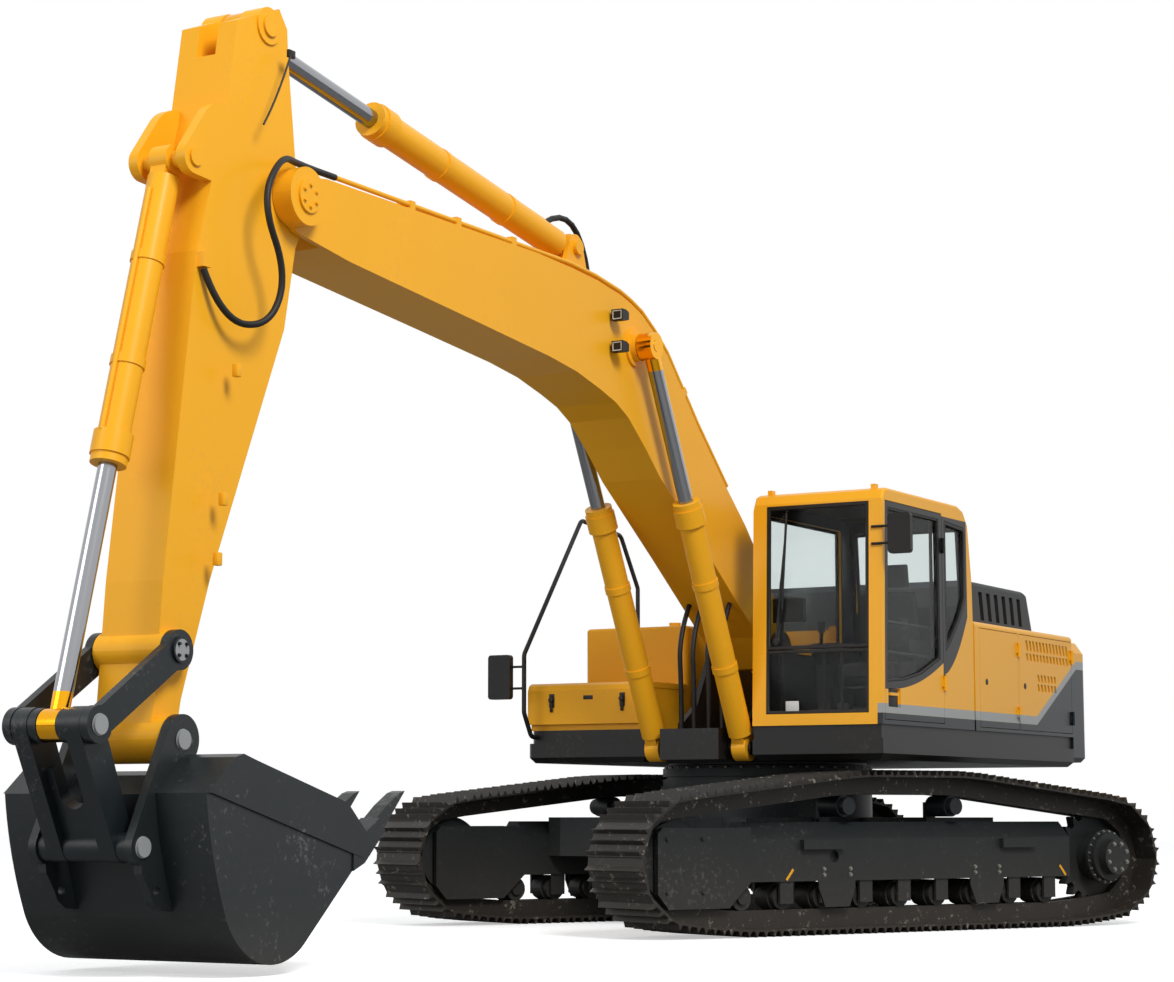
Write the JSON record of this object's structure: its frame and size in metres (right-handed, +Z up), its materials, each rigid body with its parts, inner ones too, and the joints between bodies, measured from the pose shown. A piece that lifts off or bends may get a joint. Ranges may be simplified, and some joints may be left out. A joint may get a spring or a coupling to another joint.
{
  "type": "crawler excavator",
  "caption": "Crawler excavator with cab, slewing upper structure, boom, arm and backhoe bucket on two tracks.",
  "frame": {"origin": "on the ground, below the middle of the whole machine in its parked pose", "axes": "+X forward along the boom, +Y to the cab side, +Z up"},
  "size_m": [11.475, 4.9944, 5.28],
  "materials": {
    "yellow_paint": "gloss",
    "dark_paint": "satin",
    "track_steel": "worn",
    "chrome_rod": "polished",
    "glass": "clear",
    "black_plastic": "matte",
    "rubber_hose": "matte",
    "lamp": "gloss",
    "seat_fabric": "woven"
  },
  "bodies": {
    "undercarriage": {"carbody": "dark_paint", "track_frames": "dark_paint", "idler_yokes": "dark_paint", "idlers": "dark_paint", "sprockets": "dark_paint", "track_rollers": "dark_paint", "carrier_rollers": "dark_paint", "track_left": "track_steel", "track_right": "track_steel", "swing_bearing": "dark_paint"},
    "upper": {"upper_frame": "dark_paint", "counterweight": "yellow_paint", "rear_body": "yellow_paint", "pump_body": "yellow_paint", "engine_block": "dark_paint", "tank": "yellow_paint", "toolbox": "yellow_paint", "cab": "yellow_paint", "cab_glass": "glass", "seat": "seat_fabric", "consoles": "black_plastic", "mirrors": "black_plastic", "handrails": "black_plastic", "boom_hoses": "rubber_hose"},
    "cab_door": {"cab_door": "yellow_paint", "door_glass": "glass"},
    "left_front_door": {"left_front_door": "yellow_paint"},
    "left_rear_door": {"left_rear_door": "yellow_paint"},
    "right_door": {"right_door": "yellow_paint"},
    "engine_hood": {"engine_hood": "dark_paint"},
    "toolbox_lid": {"toolbox_lid": "yellow_paint"},
    "boom": {"boom": "yellow_paint", "boom_lamps": "lamp", "boom_pipes": "yellow_paint", "arm_hose": "rubber_hose"},
    "boom_barrels": {"boom_barrels": "yellow_paint"},
    "boom_rods": {"boom_rods": "chrome_rod"},
    "arm_barrel": {"arm_barrel": "yellow_paint"},
    "arm_rod": {"arm_rod": "chrome_rod"},
    "arm": {"arm": "yellow_paint"},
    "bucket_barrel": {"bucket_barrel": "yellow_paint"},
    "bucket_rod": {"bucket_rod": "chrome_rod"},
    "levers": {"levers": "dark_paint"},
    "bucket_link": {"bucket_link": "dark_paint"},
    "bucket": {"bucket": "dark_paint"}
  },
  "joints": [
    {"name": "swing", "type": "hinge", "parent": "undercarriage", "child": "upper", "pos_m": [-2.34, 0, 1.1], "axis": [0, 0, 1], "continuous": true},
    {"name": "boom_lift", "type": "hinge", "parent": "upper", "child": "boom", "pos_m": [-2.05, 0, 2.01], "axis": [0, -1, 0], "range_deg": [-50, 36], "deforming": ["boom_hoses"]},
    {"name": "arm_draw", "type": "hinge", "parent": "boom", "child": "arm", "pos_m": [4.01, 0, 4.22], "axis": [0, 1, 0], "range_deg": [-82, 41], "deforming": ["arm_hose"]},
    {"name": "bucket_curl", "type": "hinge", "parent": "arm", "child": "bucket", "pos_m": [5.045, 0, 1.19], "axis": [0, 1, 0], "range_deg": [-125, 8]},
    {"name": "boom_cylinder_tilt", "type": "hinge", "parent": "upper", "child": "boom_barrels", "pos_m": [-1.25, 0, 1.28], "axis": [0, -1, 0], "range_deg": [-47.22, 34]},
    {"name": "boom_cylinder_stroke", "type": "slide", "parent": "boom_barrels", "child": "boom_rods", "axis": [0.4545, 0, 0.8907], "range_m": [-0.90766, 0.65356]},
    {"name": "arm_cylinder_tilt", "type": "hinge", "parent": "boom", "child": "arm_barrel", "pos_m": [0.69, 0, 4.57], "axis": [0, -1, 0], "range_deg": [-0.0902, 0.1804]},
    {"name": "arm_cylinder_stroke", "type": "slide", "parent": "arm_barrel", "child": "arm_rod", "axis": [0.9866, 0, 0.163], "range_m": [-0.99317, 0.49666]},
    {"name": "bucket_cylinder_tilt", "type": "hinge", "parent": "arm", "child": "bucket_barrel", "pos_m": [4.85, 0, 4.28], "axis": [0, -1, 0], "range_deg": [-0.12, 1.83]},
    {"name": "bucket_cylinder_stroke", "type": "slide", "parent": "bucket_barrel", "child": "bucket_rod", "axis": [0.2464, 0, -0.9692], "range_m": [-1.20575, 0.07729]},
    {"name": "lever_tilt", "type": "hinge", "parent": "arm", "child": "levers", "pos_m": [5.005, 0, 1.65], "axis": [0, -1, 0], "range_deg": [-6.89, 107.51]},
    {"name": "link_tilt", "type": "hinge", "parent": "levers", "child": "bucket_link", "pos_m": [5.62, 0, 1.252], "axis": [0, -1, 0], "range_deg": [-68.76, 4.41]},
    {"name": "cab_door_swing", "type": "hinge", "parent": "upper", "child": "cab_door", "pos_m": [-2.25, 1.483, 2.2], "axis": [0, 0, 1], "range_deg": [0, 160]},
    {"name": "left_front_door_swing", "type": "hinge", "parent": "upper", "child": "left_front_door", "pos_m": [-3.745, 1.483, 1.84], "axis": [0, 0, 1], "range_deg": [0, 95]},
    {"name": "left_rear_door_swing", "type": "hinge", "parent": "upper", "child": "left_rear_door", "pos_m": [-4.935, 1.483, 1.84], "axis": [0, 0, 1], "range_deg": [0, 95]},
    {"name": "right_door_swing", "type": "hinge", "parent": "upper", "child": "right_door", "pos_m": [-4.335, -1.483, 1.84], "axis": [0, 0, -1], "range_deg": [0, 95]},
    {"name": "engine_hood_lift", "type": "hinge", "parent": "upper", "child": "engine_hood", "pos_m": [-4.923, 0, 2.258], "axis": [0, -1, 0], "range_deg": [0, 60]},
    {"name": "toolbox_lid_lift", "type": "hinge", "parent": "upper", "child": "toolbox_lid", "pos_m": [-1.997, -0.985, 1.793], "axis": [0, -1, 0], "range_deg": [0, 80]}
  ],
  "couplings": [
    {"joint": "boom_cylinder_tilt", "follows": "boom_lift", "ratio": 0.9442},
    {"joint": "boom_cylinder_stroke", "follows": "boom_lift", "m_per_rad": 1.0399},
    {"joint": "arm_cylinder_tilt", "follows": "arm_draw", "ratio": -0.0022},
    {"joint": "arm_cylinder_stroke", "follows": "arm_draw", "m_per_rad": 0.69385},
    {"joint": "bucket_cylinder_tilt", "follows": "bucket_curl", "ratio": -0.0146},
    {"joint": "bucket_cylinder_stroke", "follows": "bucket_curl", "m_per_rad": 0.55262},
    {"joint": "lever_tilt", "follows": "bucket_curl", "ratio": -0.86},
    {"joint": "link_tilt", "follows": "bucket_curl", "ratio": 0.55}
  ]
}
